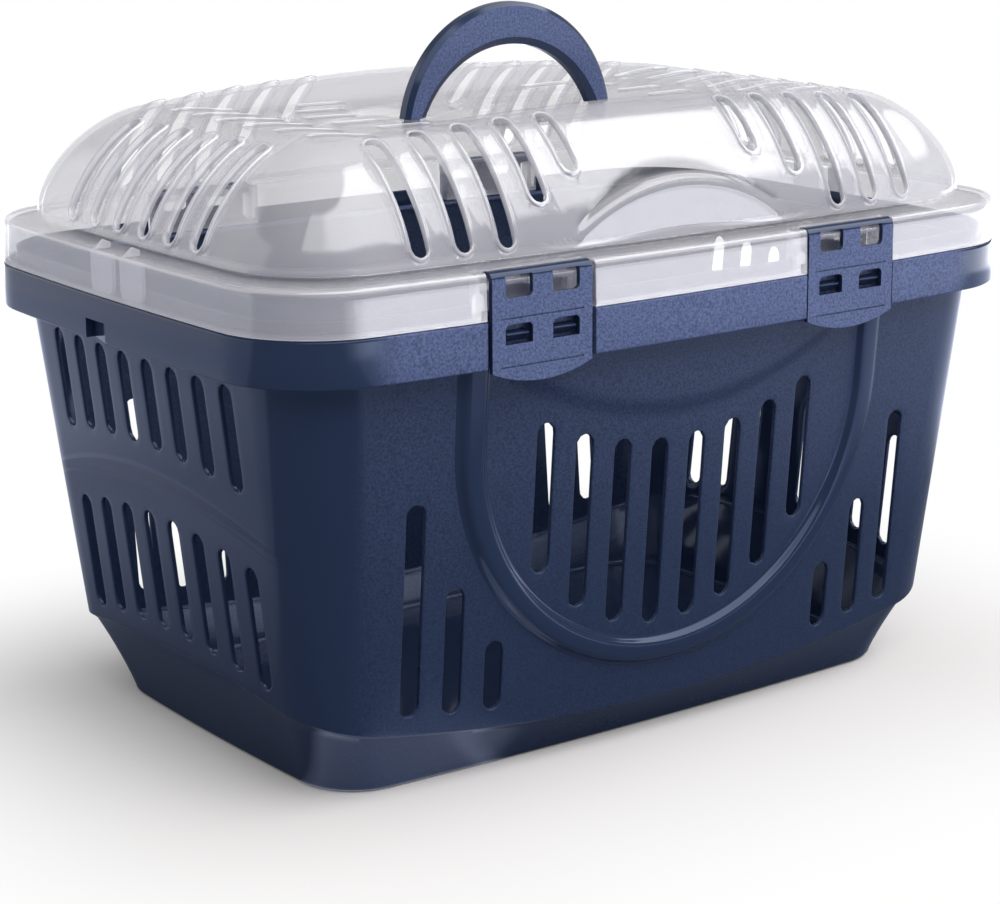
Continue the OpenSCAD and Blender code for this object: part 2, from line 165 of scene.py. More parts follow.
def shell(name, sheet, field, us, vs, rims, poles, grain=None):
    """Closed shell from sheet(u, v, side), side 0 outside and 1 inside, opened where field(u, v) is below the first
    offset of its rim. rims[kind] lists (offset from the slot's edge, side, lift along the normal)."""
    us, vs = np.asarray(us, float), np.asarray(vs, float)
    cols, rows = len(us), len(vs)
    u, v = [g.reshape(-1) for g in np.meshgrid(us, vs)]
    first = np.array([rim[0][0] for rim in rims])

    def gap(a, b, level):
        d, kind = field(a, b)
        return d - (first[kind] if level is None else level), kind

    def slide(a, b, level):
        """Newton steps along the sheet to the line where the field has this level"""
        for _ in range(4):
            e = 0.02
            f, _k = gap(a, b, level)
            p = sheet(a, b, 0)
            fu, fv = (gap(a + e, b, level)[0] - f) / e, (gap(a, b + e, level)[0] - f) / e
            gu = ((sheet(a + e, b, 0) - p) ** 2).sum(1) / e ** 2
            gv = ((sheet(a, b + e, 0) - p) ** 2).sum(1) / e ** 2
            size = fu * fu / gu + fv * fv / gv
            a, b = a - f * fu / gu / size, b - f * fv / gv / size
        return a, b

    g, kind = gap(u, v, None)
    grid = g.reshape(rows, cols)
    on = np.zeros((rows, cols), bool)
    for other, axis in ((np.roll(grid, -1, 1), 1), (np.vstack([grid[1:], grid[-1:]]), 0)):
        cross, near = grid * other < 0, np.abs(grid) <= np.abs(other)
        on |= cross & near
        hit = cross & ~near
        on |= np.roll(hit, 1, 1) if axis == 1 else np.vstack([np.zeros((1, cols), bool), hit[:-1]])
    on = on.reshape(-1)
    u[on], v[on] = slide(u[on], v[on], None)
    inside, outside = (g < 0) & ~on, (g >= 0) & ~on
    cell = grid_quads(rows, cols)
    has_in, has_out = inside[cell].any(1), outside[cell].any(1)
    quads = cell[~has_in & has_out]
    mixed = cell[has_in & has_out]
    k = np.argmax(outside[mixed], 1)
    pick = lambda n: np.take_along_axis(mixed, ((k + n) % 4)[:, None], 1)[:, 0]
    tris = np.stack([pick(3), pick(0), pick(1)], 1)
    # edges of the kept faces whose other side is open, between two points on a slot's line
    edges = np.concatenate([f[:, [n, (n + 1) % size]] for f, size in ((quads, 4), (tris, 3)) for n in range(size)])
    edges = edges[on[edges].all(1)]
    total = rows * cols
    keys = edges[:, 0] * total + edges[:, 1]
    edges = edges[~np.isin(edges[:, 1] * total + edges[:, 0], keys)]
    ring = np.unique(edges)
    local = np.searchsorted(ring, edges)
    outer, inner = sheet(u, v, 0), sheet(u, v, 1)

    def normal(a, b, side):
        e = 0.05
        n = np.cross(sheet(a + e, b, side) - sheet(a - e, b, side), sheet(a, b + e, side) - sheet(a, b - e, side))
        return n / np.maximum(np.linalg.norm(n, axis=1), 1e-9)[:, None]

    verts, faces = [outer, inner], [quads, quads[:, ::-1] + total]
    facing = 1.0 if (normal(u, v, 0) * (outer - inner)).sum(1).mean() > 0 else -1.0
    base, before = 2 * total, ring
    a, b, rk = u[ring].copy(), v[ring].copy(), kind[ring]
    for n in range(1, len(rims[0])):
        step = np.array([rim[n] for rim in rims])
        offset, side, lift = step[rk].T
        if n == len(rims[0]) - 1:
            after = ring + total
        else:
            a, b = slide(a, b, offset)
            p = np.where(side[:, None] < 0.5, sheet(a, b, 0), sheet(a, b, 1))
            m = np.where(side[:, None] < 0.5, normal(a, b, 0), normal(a, b, 1)) * facing
            verts.append(p + m * lift[:, None])
            after = base + np.arange(len(ring))
            base += len(ring)
        faces.append(np.stack([before[local[:, 1]], before[local[:, 0]], after[local[:, 0]], after[local[:, 1]]], 1))
        before = after
    tri = [tris, tris[:, ::-1] + total]
    line = np.arange(cols)
    nxt = (line + 1) % cols
    for row, pole, flip in ((0, poles[0], True), (rows - 1, poles[1], False)):
        o = row * cols
        if pole:
            for s in (0, 1):
                centre = (outer, inner)[s][o:o + cols].mean(0)
                verts.append(centre[None])
                fan = np.stack([o + line + s * total, o + nxt + s * total, np.full(cols, base)], 1)
                tri.append(fan if (s == 0) != flip else fan[:, ::-1])
                base += 1
        else:
            q = np.stack([o + line, o + nxt, o + nxt + total, o + line + total], 1)
            faces.append(q[:, ::-1] if flip else q)
    if facing < 0:
        faces, tri = [f[:, ::-1] for f in faces], [t[:, ::-1] for t in tri]
    verts = np.concatenate(verts)
    return make_mesh(name, verts, np.concatenate(faces), np.concatenate(tri), None if grain is None else grain(verts))


def stadium(p, q, q0, q1, w):
    """Distance to a slot of width w that runs along q from q0 to q1 with round ends, p across it"""
    h = w / 2
    return np.hypot(p, np.maximum(np.maximum(q0 + h - q, q - q1 + h), 0)) - h


# %% [markdown]
# ## The tub
# A real tub is drawn from one mould: a plinth, a ledge that waves, walls with draft, slots, a curved step on each end
# and a soft brow on each long side. A stack of boxes would show none of that. Here one sheet follows a short list of
# rings; a ring says its height, its inset and how much it belongs to the floor, and the rest is worked out between.

# %% The tub's rings
TUB_WALL = 2.4
WALL_FOOT, WALL_HEAD, WALL_TOP = (208.2, 133.3, 8.5, 6.5, 36.0), (234.5, 152.5, 8.5, 6.5, 43.0), 240.0
PLINTH_FOOT = (192.2, 118.3, 5.6, 3.6, 34.2)


def smoothly(start, end, count):
    return np.radians(np.linspace(start, end, count))


# each ring: height, inset, share of the ledge's wave, share of the plinth's foot, scale; the walls have close rows
# where the two edges of the curved step run
floor_rings = [(0, 0, 0, 1, s) for s in (0.03, 0.3, 0.6, 0.85, 0.97)]
foot_rings = [(3.2 - 3.2 * math.cos(a), 4.2 - 4.2 * math.sin(a), 0, 1, 1) for a in smoothly(0, 90, 5)]
plinth_rings = [(3.2 + 27.2 * k, 3.4 * k, k, 1 - k, 1) for k in np.arange(1, 8) / 7]
nose_rings = [(32.9 + 1.6 * math.sin(a), 1.6 - 1.6 * math.cos(a), 1, 0, 1) for a in smoothly(-80, 0, 6)]
wall_rows = (*np.linspace(35.5, 139, 32), 140.4, 141.2, 141.8, 142.8, 145.7, 148.7, 149.7, 150.3, 151.2,
             *np.linspace(153.5, 233, 25), 236.5, 238.6)
wall_rings = [(z, 0, 1 - smooth((z - 36) / 100), 0, 1) for z in wall_rows]
tub_rings = np.array(floor_rings + foot_rings + plinth_rings + nose_rings + wall_rings)
print("tub rings", len(tub_rings))

# %% The tub's sheet
STEP_LOW, STEP_TOP, STEP_REACH = 141.5, 150.0, 118


def wall_line(u, z, inset):
    """x, y of the tapered wall at height z: the foot's outline grown evenly to the head's"""
    a, b, sx, sy, r = [f + (h - f) * z / WALL_TOP for f, h in zip(WALL_FOOT, WALL_HEAD)]
    return outline(u, a - inset, b - inset, sx, sy, r - 0.9 * inset)


def ledge_wave(x, y):
    """How far the ledge lies above its height at the front corner's foot: it rises with x^2 and falls with y^2"""
    return 0.00045 * x * x - 0.00059 * y * y


def brow(x, z):
    """The wall inside the U stands out above a smile-shaped crease, by up to 1.8 mm, and eases back above it"""
    up = z - 177.3 - 0.0027 * x * x
    return 1.8 * smooth(up / 5.5) * smooth((119 - np.abs(x)) / 16) * (1 - 0.45 * smooth((up - 6) / 40))


def step_sink(y, z):
    """The ends are sunk by up to 2.3 mm below a curved step that fades towards the corners; a fine lip runs along
    both edges of the step"""
    top, bottom = STEP_TOP - 0.0015 * y * y, STEP_LOW - 0.0013 * y * y
    lips = np.maximum(np.maximum(1 - np.abs(z - bottom) / 0.9, 1 - np.abs(z - top) / 0.9), 0)
    fade = np.maximum(0, 1 - (y / STEP_REACH) ** 2)
    return 2.3 * fade * (1 - np.clip((z - bottom) / (top - bottom), 0, 1)) - 0.35 * lips * np.minimum(1, 4 * fade)


def step_bend(x, y, z):
    """How far a ring sinks on the ends, with y^2, so that the rings run along the step's two edges"""
    bend = np.interp(z, [36, 138, STEP_LOW, STEP_TOP, 154, 215], [0, 0.00126, 0.0013, 0.0015, 0.00152, 0])
    return bend * np.minimum(np.abs(y), STEP_REACH) ** 2 * smooth((np.abs(x) - 178) / 32)


def tub_sheet(u, v, side):
    """Ring v of the tub at u: the wall's outline at that height, mixed with the plinth's foot, on the outside or in"""
    row = np.clip(v, 0, len(tub_rings) - 1)
    z, inset, wave, foot, scale = [np.interp(row, np.arange(len(tub_rings)), c) for c in tub_rings.T]
    d = inset + TUB_WALL * side
    level = z
    for _ in range(3):
        wall = [f + (h - f) * level / WALL_TOP for f, h in zip(WALL_FOOT, WALL_HEAD)]
        a, b, sx, sy, r = [w * (1 - foot) + p * foot for w, p in zip(wall, PLINTH_FOOT)]
        x, y = outline(u, a - d, b - d, sx, sy, r - 0.9 * d)
        x, y = x * scale, y * scale
        level = z + wave * ledge_wave(x, y) - step_bend(x, y, z)
    on_end = smooth((np.abs(x) - 170) / 25) * (1 - smooth((np.abs(y) - 100) / 22)) * (level > 31 + ledge_wave(x, y))
    x = x - np.sign(x) * step_sink(y, level) * on_end
    y = y + np.sign(y) * brow(x, level) * (np.abs(y) > 120)
    return np.stack([x, y, level + side * np.interp(z, [0, 31, 33, 37], [3, -1.6, -1.6, 0])], -1)


# %% [markdown]
# ### The tub's air slots
# The slots share one pitch of 24.2 mm. Inside the U their lower ends lie on a circle and their upper ends on a smile,
# beside the U they get shorter towards the middle, and on the ends two rows follow the curved step.

# %% Air slots and the tub's shell
PITCH, SLOT = 24.2, 10.6
long_slots = [(x, 178 - math.sqrt(114.4 ** 2 - 1.08 * x * x), 163.8 + 0.00265 * x * x)
              for x in (np.arange(4) + 0.5) * PITCH]
long_slots += [(x, 31.4 + 0.00045 * x * x, top)
               for x, top in zip((np.arange(3) + 4.5) * PITCH + 1.2, (73.8, 106, 152.4))]
end_slots = [(y, 164 - 0.00095 * y * y, 211) for y in (np.arange(4) + 0.5) * PITCH]
end_slots += [(y, 61.8 - 0.00095 * y * y, 126.2 - 0.00107 * y * y) for y in (np.arange(4) + 0.5) * PITCH]
OUT_OF_REACH = 200


def tub_field(u, v):
    """Distance to the nearest air slot of the tub, measured on the wall; far slots are pushed out of reach"""
    x, y, z = np.abs(tub_sheet(u, v, 0).T)
    near = [stadium(x - c, z, z0, z1, SLOT) + OUT_OF_REACH * (y < 100) for c, z0, z1 in long_slots]
    near += [stadium(y - c, z, z0, z1, SLOT) + OUT_OF_REACH * (x < 165) for c, z0, z1 in end_slots]
    return np.min(near, 0), np.zeros(len(x), int)


def tub_grain_and_foot_shade(p):
    """Share of spark-eroded grain: on the long sides, not on the glossy ends and corners; halved towards the foot,
    which makes the lower wall darker and glossier as painted shade
    """
    x, y, z = np.abs(p.T)
    return smooth((y - 108) / 8) * smooth((194 - x) / 10) * (0.5 + 0.5 * smooth((z - 70) / 130))


tub_rim = [[(0.7, 0, 0), (0.35, 0, -0.07), (0.1, 0, -0.3), (0, 0, -0.7), (0, 1, 0.5), (0.2, 1, 0.1), (0.7, 1, 0)]]
tub_shell = shell("tub_shell", tub_sheet, tub_field, columns(56, 18, 36), np.arange(len(tub_rings)), tub_rim,
                  (True, False), tub_grain_and_foot_shade)

# %% [markdown]
# ## The rim band
# A ring of wall round the tub's mouth, joined to it by a flange. It is one closed profile carried round the outline.
# At each clip the profile steps back to make the recess the clip lies in, and at each end a small notch ramps in.

# %% The rim band
CLIP_X, POCKET, BAND_LOW, BAND_T = 100.0, 31.3, 218.1, 2.6
MARKS = (66.4, 68.7, 131.3, 133.6)


def rim_line(u, inset):
    return outline(u, 245 - inset, 165.4 - inset, 10.4, 5.4, 55 - inset)


# profile of the band: on the wall (0) or the rim (1), inset, height, and depth of the recess it takes at a clip
band_profile = np.array([
    (0, 2.4, 238.3, 0), (0, 2.4, 239.3, 0), (0, 1.9, 239.7, 0), (1, 6.2, 239.72, 0), (1, 5.6, 239.8, 0),
    (1, 1.3, 240.72, 158), (1, 0.75, 240.75, 158), (1, 0.3, 240.5, 158), (1, 0.06, 240.1, 158), (1, 0, 239.5, 158),
    (1, 0, 228.2, 158), (1, 0, 227.9, 158), (1, 0, 218.9, 158), (1, 0.1, 218.45, 158), (1, 0.4, 218.16, 158),
    (1, 0.8, 218.1, 158), (1, 1.9, 218.1, 155.5), (1, 2.4, 218.2, 155.4), (1, 2.6, 218.7, 155.4),
    (1, 2.6, 227.9, 155.4), (1, 2.6, 228.2, 155.4), (1, 2.6, 236.2, 155.4), (1, 3, 237.8, 155.4),
    (1, 4.6, 238.5, 0), (0, 0.3, 238.6, 0)])


def band_points(u, k):
    """Point k of the band's profile at u, stepped back inside a clip's recess and ramped in at the end notch"""
    kind, inset, z, recess = [np.interp(k, np.arange(len(band_profile)), c) for c in band_profile.T]
    wx, wy = wall_line(u, 239.0, inset)
    ramp = (u % 700 - 352.3) / 22.2
    notch = np.where((ramp > 0) & (ramp < 1) & (z < 228), 0.3 + 4.7 * ramp, 0)
    rx, ry = rim_line(u, np.maximum(inset, notch + np.where(inset > 1.5, 0.35, 0)))
    x, y = np.where(kind > 0.5, rx, wx), np.where(kind > 0.5, ry, wy)
    half = np.where(recess > 157, POCKET, POCKET + 2.3)
    deep = (recess > 1) & (np.abs(np.abs(x) - CLIP_X) < half) & (np.abs(y) > 140)
    return np.stack([x, np.where(deep, np.sign(y) * np.minimum(np.abs(y), recess), y), z], -1)


def loop_mesh(name, points, us, count, grain):
    """Closed profile carried round a closed outline: a torus of points(u, k)"""
    u, k = [g.reshape(-1) for g in np.meshgrid(us, np.arange(count))]
    quads = grid_quads(count, len(us))
    last = grid_quads(2, len(us)) % (2 * len(us))
    last = np.where(last >= len(us), last - len(us), last + (count - 1) * len(us))
    p = points(u, k.astype(float))
    return make_mesh(name, p, np.concatenate([quads, last]), None, grain(p))


# the lip's height along the long sides: up to |x|, height
UPSTAND = ((64.0, 248.8), (71.0, 239.4), (129.0, 245.2), (136.0, 239.4), (900.0, 248.8))
DEEP, UPSTAND_FOOT = -99, 238.9
# its profile: inset and drop below that height
upstand_profile = np.array([(8.4, DEEP), (8.4, -0.7), (8.15, -0.2), (7.7, 0), (7.1, 0), (6.65, -0.2), (6.4, -0.7),
                            (6.4, DEEP)])


def upstand_points(u, k):
    """Lip that keeps the lid's skirt in place: 8 mm high, lower in the clip pockets and let down beside them"""
    inset, drop = [np.interp(k, np.arange(len(upstand_profile)), c) for c in upstand_profile.T]
    x, y = rim_line(u, inset)
    top = np.full(len(x), UPSTAND[-1][1])
    for reach, height in UPSTAND[-2::-1]:
        top = np.where((np.abs(x) < reach) & (np.abs(y) > 140), height, top)
    return np.stack([x, y, np.maximum(top + drop, UPSTAND_FOOT)], -1)


rim_upstand = loop_mesh("rim_upstand", upstand_points, columns(40, 20, 30, (64.0, 71.0, 129.0, 136.0)),
                        len(upstand_profile), lambda p: np.zeros(len(p)))
rim_band = loop_mesh("rim_band", band_points, columns(60, 20, 36, MARKS + (325.6, 347.7)), len(band_profile), tub_grain_and_foot_shade)

# %% [markdown]
# ## The U-shaped bead
# A bead like this stiffens a thin wall. It is a flat-topped profile carried along a path of two straight arms and half
# a ring; every point is set off from the wall's own surface, so the bead keeps its height where the wall bows.

# %% The bead
BEAD_R, BEAD_Z, BEAD_UP = 129.0, 178.0, 223.0
arm = np.linspace(BEAD_UP, BEAD_Z, 14)[:-1]
turn = np.radians(np.linspace(0, 180, 97))
path_x = np.concatenate([arm * 0 + BEAD_R, BEAD_R * np.cos(turn), arm * 0 - BEAD_R])
path_z = np.concatenate([arm, BEAD_Z - BEAD_R * np.sin(turn), arm[::-1]])
out_x = np.concatenate([arm * 0 + 1, np.cos(turn), arm * 0 - 1])
out_z = np.concatenate([arm * 0, -np.sin(turn), arm * 0])
# across the bead: place from -1 to 1 over its half width, height over the wall
across = np.array([(-1.16, -1.0), (-1.16, 0.0), (-1.0, 0.35), (-0.86, 1.3), (-0.74, 2.7), (-0.62, 3.5), (-0.42, 3.9),
                   (-0.15, 4.0), (0.15, 4.0), (0.42, 3.9), (0.62, 3.5), (0.74, 2.7), (0.86, 1.3), (1.0, 0.35),
                   (1.16, 0.0), (1.16, -1.0)])


def wall_y(x, z):
    """y of the front wall at x and z: the bowed side's circle at that height"""
    a, b = [WALL_FOOT[n] + (WALL_HEAD[n] - WALL_FOOT[n]) * z / WALL_TOP for n in (0, 1)]
    r = (a * a + 8.5 ** 2) / 17
    return r - b - np.sqrt(r * r - x * x)


def bead(name, flip):
    """Bead on the front wall, or on the back wall where flip is -1: path plus place times half width along the wall"""
    half = 6.9 + 1.2 * smooth((path_z - 60) / 150)
    w = half[:, None] * across[:, 0]
    x, z = path_x[:, None] + out_x[:, None] * w, path_z[:, None] + out_z[:, None] * w
    y = wall_y(x, z) - across[:, 1]
    p = np.stack([x, y * flip, z], -1).reshape(-1, 3)
    quads = grid_quads(len(path_x), len(across))[:, ::flip]
    ends = [np.arange(len(across))[::-1], np.arange(len(across)) + (len(path_x) - 1) * len(across)]
    caps = np.concatenate([np.stack([e[:1].repeat(len(e) - 2), e[1:-1], e[2:]], 1) for e in ends])[:, ::-flip]
    return make_mesh(name, p, quads, caps, np.zeros(len(p)))


bead_front, bead_rear = bead("bead_front", 1), bead("bead_rear", -1)

# %% [markdown]
# ## Catch teeth
# Behind the lower windows of each clip stand two small wedges. The clip's plate snaps over them. They are short prisms
# with rounded edges, and a helper makes any number of prisms into one piece.

# %% Catch teeth
def prisms(name, parts, width, grain=0.0):
    """One mesh from convex prisms: each part is a polygon of points in space and the vector it is drawn along"""
    verts, quads, tris, start = [], [], [], 0
    for poly, along in parts:
        poly = np.asarray(poly, float)
        n = len(poly)
        i = np.arange(n)
        verts += [poly, poly + np.asarray(along, float)]
        quads.append(np.stack([i, i + n, (i + 1) % n + n, (i + 1) % n], 1) + start)
        fan = np.stack([i[1:-1] * 0, i[1:-1], i[2:]], 1)
        tris += [fan + start, fan[:, ::-1] + start + n]
        start += 2 * n
    p = np.concatenate(verts)
    obj = make_mesh(name, p, np.concatenate(quads), np.concatenate(tris), np.full(len(p), grain))
    edge = bmesh.new()
    edge.from_mesh(obj.data)
    bmesh.ops.recalc_face_normals(edge, faces=edge.faces)
    bmesh.ops.dissolve_limit(edge, angle_limit=0.01, verts=edge.verts, edges=edge.edges)
    edge.to_mesh(obj.data)
    edge.free()
    bevel = obj.modifiers.new("soft edges", "BEVEL")
    bevel.width, bevel.segments, bevel.limit_method, bevel.angle_limit = width * MM, 2, "ANGLE", math.radians(30)
    return obj


WINDOW_X, TOOTH_W = (-14.0, 14.0), 13.6
wedge = np.array([(155.6, 228.0), (155.6, 235.4), (162.4, 234.2), (162.8, 233.4), (158.0, 229.6)])
teeth = []
for side in (-1, 1):
    for clip in (-CLIP_X, CLIP_X):
        for x in WINDOW_X:
            start = np.full(len(wedge), clip + x - TOOTH_W / 2)
            teeth.append((np.stack([start, side * wedge[:, 0], wedge[:, 1]], 1), (TOOTH_W, 0, 0)))
catch_teeth = prisms("catch_teeth", teeth, 0.35)

# %% [markdown]
# ## The clear lid
# The lid is one moulding: a skirt, a flat ledge, a dome that is a quarter of a super-ellipse in section, a shallow
# trough on top and an oval well for the fingers. Its sheet is again a list of rings, each with its own outline.
# In the middle of each long side an arched panel stands out of the dome; there the rings gather on the panel's
# face, its rounded edge and the crescent-shaped shelf above it, so that those edges stay crisp.

# %% The lid's forms
LID_WALL, DOME_Z = 2.0, 267.0
DOME, TOP = (230.0, 147.5, 8.0, 5.0, 52.0), (179.0, 97.5, 4.0, 3.0, 9.0)


def crest_z(x):
    """Height of the low crest along the front and the back"""
    return 330 - 0.0003 * x * x


def floor_z(x, y):
    """Height of the trough, and of the oval finger well in it"""
    well = smooth((1.06 - np.hypot(x / 84, y / 50)) / 0.2)
    return 317.4 + 0.00008 * x * x - (2.4 + 0.00008 * x * x) * well


def dome_in(t):
    """Share of the way in, for t from the dome's foot to its top"""
    return 1 - np.maximum(np.cos(np.pi / 2 * t), 0) ** 1.26


def dome_up(t):
    """Share of the way up"""
    return np.sin(np.pi / 2 * t) ** 1.37


t_fine = np.linspace(0, 1, 600)
arc = np.concatenate([[0], np.cumsum(np.hypot(np.diff(dome_in(t_fine)) * 50, np.diff(dome_up(t_fine)) * 63))])
arc_share = arc / arc[-1]
print("dome section is", round(float(arc[-1]), 1), "mm long")


def dome_depth(x, z):
    """Distance of the dome from the middle plane at x and height z: the section solved for z"""
    s = np.clip((z - DOME_Z) / (crest_z(x) - DOME_Z), 0, 1) ** (1 / 1.37)
    t = np.arcsin(s) / (np.pi / 2)
    inn = dome_in(t)
    a, sag = 230 - 51 * inn, 8 - 4 * t
    r = (a * a + sag * sag) / (2 * sag)
    return 147.5 - 50 * inn - r + np.sqrt(np.maximum(r * r - x * x, 0))


# %% The arched panel
ARCH_Z = 186.5
edge_rho = np.array([105.8, 107.6, 109.1, 110.3, 111.1, 111.6, 121.5])
edge_depth = np.array([147, 146.65, 145.7, 144.4, 143.0, 141.4, 120.2])
arch_x = np.linspace(0, 66, 34)
lo, hi = np.full(34, 111.6), np.full(34, 121.4)
for _ in range(30):
    rho = (lo + hi) / 2
    over = np.interp(rho, edge_rho, edge_depth) > dome_depth(arch_x, ARCH_Z + np.sqrt(rho ** 2 - arch_x ** 2))
    lo, hi = np.where(over, rho, lo), np.where(over, hi, rho)
shelf_rho = (lo + hi) / 2
N_DOME, N_FACE, N_SHELF = 34, 11, 18
print("shelf ends on circles of radius", shelf_rho[[0, 16, 33]].round(1))


def dome_row(t_start, j, first, last):
    """t for row j where rows first to last share the arc from t_start to the top evenly"""
    s0 = np.interp(t_start, t_fine, arc_share)
    s = s0 + (1 - s0) * np.clip((j - first) / (last - first), 0, 1)
    return np.interp(s, arc_share, t_fine)


def panel_height(x, j):
    """Height of row j in the panel's columns: evenly up the face, round its edge, over the shelf, then up the dome"""
    xc = np.minimum(np.abs(x), 66)
    meet = np.interp(xc, arch_x, shelf_rho)
    knots = np.array([11, 12, 13, 14, 15, 16])
    rho = np.interp(np.clip(j, 11, 16), knots, edge_rho[:6])
    rho = np.where(j > 16, 111.6 + (meet - 111.6) * np.clip((j - 16) / 2, 0, 1), rho)
    edge = ARCH_Z + np.sqrt(rho ** 2 - xc ** 2)
    face_top = ARCH_Z + np.sqrt(edge_rho[0] ** 2 - xc ** 2)
    low = np.where(j < N_FACE, DOME_Z + (face_top - DOME_Z) * j / N_FACE, edge)
    start = np.clip((ARCH_Z + np.sqrt(meet ** 2 - xc ** 2) - DOME_Z) / (crest_z(x) - DOME_Z), 0, 1)
    t0 = np.arcsin(start ** (1 / 1.37)) / (np.pi / 2)
    high = DOME_Z + (crest_z(x) - DOME_Z) * dome_up(dome_row(t0, j, N_SHELF, N_DOME))
    return np.where(j <= N_SHELF, low, high)


# %% The lid's rings
def rows_between(start, end, shares):
    return [tuple(s + (e - s) * k for s, e in zip(start, end)) for k in shares]


def rim_ring(inset, z):
    return (245 - inset, 165.4 - inset, 10.4, 5.4, 55 - inset, z)


# columns: outline (a, b, two sags, corner), height, share of the dome's height, scale, share and size of the oval
base = [rim_ring(0.3, 241.3), rim_ring(0.31, 242.0)]
base += rows_between(rim_ring(0.31, 242.0), rim_ring(0.9, 261.7), np.arange(1, 6) / 5)
base += [rim_ring(0.9 + 2.6 - 2.6 * math.cos(a), 261.7 + 2.6 * math.sin(a)) for a in smoothly(18, 90, 5)]
base += rows_between(rim_ring(3.5, 264.3), (231.6, 149.1, 8, 5, 53, 265.8), (0.12, 0.4, 0.7, 1))
base += [(230.5, 148.0, 8, 5, 52.3, 266.25)]
LEDGE_ROWS = len(base)
t_rows = np.interp(np.linspace(0, 1, N_DOME + 1), arc_share, t_fine)
lid_rings = [(*b, 0, 1, 0, 1.06) for b in base]
lid_rings += [(230 - 51 * dome_in(t), 147.5 - 50 * dome_in(t), 8 - 4 * t, 5 - 2 * t, 52 - 43 * t, DOME_Z, dome_up(t),
               1, 0, 1.06) for t in t_rows]
lid_rings += [(*TOP, DOME_Z, 1, k, 0, 1.06) for k in np.linspace(1, 0.72, 11)[1:]]
lid_rings += [(*TOP, DOME_Z, 1, 0.72, k, 1.06) for k in np.linspace(0, 1, 14)[1:]]
lid_rings += [(*TOP, DOME_Z, 1, 0.72, 1, k)
              for k in (1.02, 0.98, 0.94, 0.9, 0.86, 0.76, 0.66, 0.55, 0.44, 0.33, 0.22, 0.12, 0.05)]
lid_rings = np.array(lid_rings, float)
print("lid rings", len(lid_rings))


def lid_sheet(u, v, side):
    """Ring v of the lid at u. Ring outlines give x and y; height comes from the ring, the dome's section or the trough.
    Long sides take the panel where it lies further out than the dome; clip recesses step back to the rear wall."""
    row = np.clip(v, 0, len(lid_rings) - 1)
    a, b, sx, sy, r, z, up, scale, share, oval = [np.interp(row, np.arange(len(lid_rings)), c) for c in lid_rings.T]
    d = LID_WALL * side
    top_x, _y = outline(u, *TOP)
    x, y = outline(u, a - d, b - d, sx, sy, np.maximum(r - d, 3))
    x, y = x * scale, y * scale
    size = 1 + (oval / np.maximum(np.hypot(x / 84, y / 50), 1e-6) - 1) * share
    x, y = x * size, y * size
    level = z + (crest_z(np.where(scale < 1, x, top_x)) - z) * up
    level = level + (floor_z(x, y) - level) * smooth((1 - scale) / 0.28)
    j = row - LEDGE_ROWS
    gather = (1 - smooth((np.abs(x) - 62) / 28)) * (j > 0) * (j < N_DOME) * (np.abs(y) > 80)
    jc = np.clip(j, 0, N_DOME)
    level = level + (panel_height(x, jc) - level) * gather
    dome = dome_depth(x, level)
    rho = np.hypot(x, level - ARCH_Z)
    panel = np.where(rho < 121.4, np.interp(rho, edge_rho, edge_depth), 0)
    depth = dome + np.maximum(panel - dome, 0) * (1 - smooth((np.abs(x) - 58) / 16)) - d
    y = np.where(gather > 0, np.sign(y) * depth, y)
    recess = (row < LEDGE_ROWS) & (np.abs(np.abs(x) - CLIP_X) < POCKET + 2.3 * side) & (np.abs(y) > 140)
    y = np.where(recess, np.sign(y) * np.minimum(np.abs(y), 152.4 - d), y)
    return np.stack([x, y, level - d * np.clip(row / 2, 0, 1)], -1)


# %% [markdown]
# ### The lid's slots
# Ten slots run over each long shoulder and six over each end; they have raised, rounded edges. Twelve plain ones lie
# in the trough. A shoulder slot ends in a half circle seen from the front below, and seen from above on top.

# %% Lid slots and shell
LID_SLOT = 9.6
shoulder_slots = [(58.4 + 24.3 * k, low_z, 104.8 - 0.9 * k)
                  for k, low_z in enumerate((301.4, 289.6, 271.2, 271.4, 271.4))]
top_slots = [((k + 0.5) * 26.2, 132 - k * k, 172 - 2 * k) for k in range(3)]
top_slots += [((k + 0.5) * 26.2, x0, x1) for k, (x0, x1) in enumerate(((88, 119), (78, 109), (60, 92)))]


def slot_gap(x, y, z):
    """Distance to the nearest slot of the lid: 0 for slots with a raised edge, 1 for the plain ones on top"""
    x, y, h = np.abs(x), np.abs(y), LID_SLOT / 2
    near = [np.hypot(x - c, np.maximum(np.maximum(z0 + h - z, y1 + h - y), 0)) - h for c, z0, y1 in shoulder_slots]
    near += [np.hypot(y - c, np.maximum(np.maximum(271.6 + h - z, 188 + h - x), 0)) - h for c in (12.5, 37.5, 62.5)]
    plain = [stadium(y - c, x, x0, x1, LID_SLOT - 1) for c, x0, x1 in top_slots]
    near, plain = np.min(near, 0), np.min(plain, 0)
    return np.minimum(near, plain + 1.8), (plain + 1.8 < near).astype(int)


def lid_field(u, v):
    """The slots' distance field over the sheet"""
    return slot_gap(*lid_sheet(u, v, 0).T)


